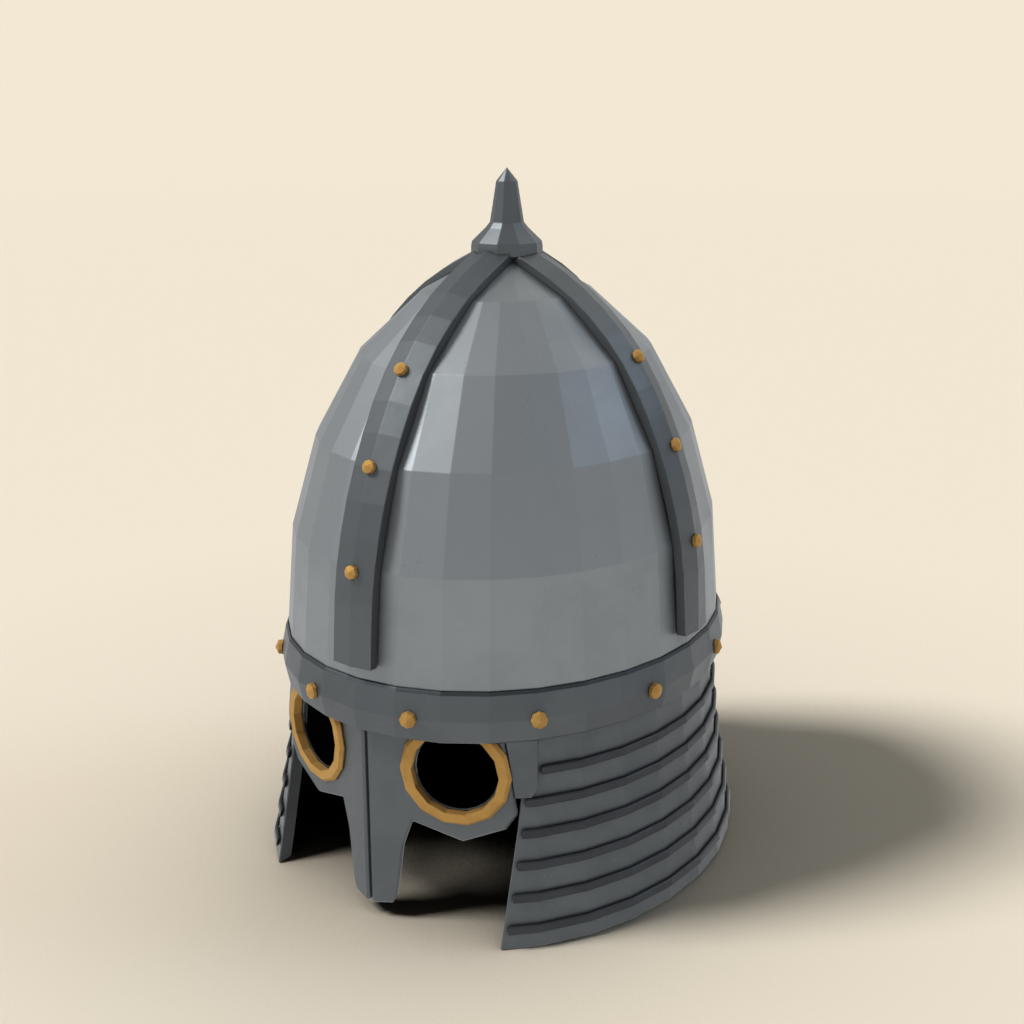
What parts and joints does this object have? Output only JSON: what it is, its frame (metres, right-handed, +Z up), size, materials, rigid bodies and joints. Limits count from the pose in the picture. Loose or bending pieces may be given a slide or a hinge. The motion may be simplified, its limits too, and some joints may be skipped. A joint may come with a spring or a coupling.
{
  "type": "helmet",
  "caption": "Spectacle helmet: faceted steel dome with riveted cross bands, spiked finial, brow band, eye guard with nasal bar and brass rims, and a flared ribbed neck guard.",
  "frame": {"origin": "under the middle of the helmet's width and length, level with the neck guard's hem that it stands on", "axes": "+Z up along the dome's axis, the face looks along -Y, and +X is the wearer's left"},
  "size_m": [0.2198, 0.2465, 0.3237],
  "materials": {
    "dome_steel": "planished steel, dull and slightly worn",
    "dark_iron": "forged, dark patina, lighter on worn edges",
    "rib_iron": "blackened",
    "brass": "aged, satin"
  },
  "bodies": {
    "root": {"dome": "dome_steel", "brow_band": "dark_iron", "finial": "dark_iron", "neck_guard": "dark_iron", "band_left": "dark_iron", "band_back": "dark_iron", "band_right": "dark_iron", "band_front": "dark_iron", "spectacle_left": "dark_iron", "spectacle_right": "dark_iron", "temple_plate_left": "dark_iron", "temple_plate_right": "dark_iron", "neck_rib_1": "rib_iron", "neck_rib_2": "rib_iron", "neck_rib_3": "rib_iron", "neck_rib_4": "rib_iron", "neck_rib_5": "rib_iron", "neck_rib_6": "rib_iron", "eye_rim_left": "brass", "eye_rim_right": "brass", "brow_rivet_01": "brass", "brow_rivet_02": "brass", "brow_rivet_03": "brass", "brow_rivet_04": "brass", "brow_rivet_05": "brass", "brow_rivet_06": "brass", "brow_rivet_07": "brass", "brow_rivet_08": "brass", "brow_rivet_09": "brass", "brow_rivet_10": "brass", "brow_rivet_11": "brass", "brow_rivet_12": "brass", "band_left_rivet_1": "brass", "band_left_rivet_2": "brass", "band_left_rivet_3": "brass", "band_back_rivet_1": "brass", "band_back_rivet_2": "brass", "band_back_rivet_3": "brass", "band_right_rivet_1": "brass", "band_right_rivet_2": "brass", "band_right_rivet_3": "brass", "band_front_rivet_1": "brass", "band_front_rivet_2": "brass", "band_front_rivet_3": "brass"}
  },
  "joints": []
}
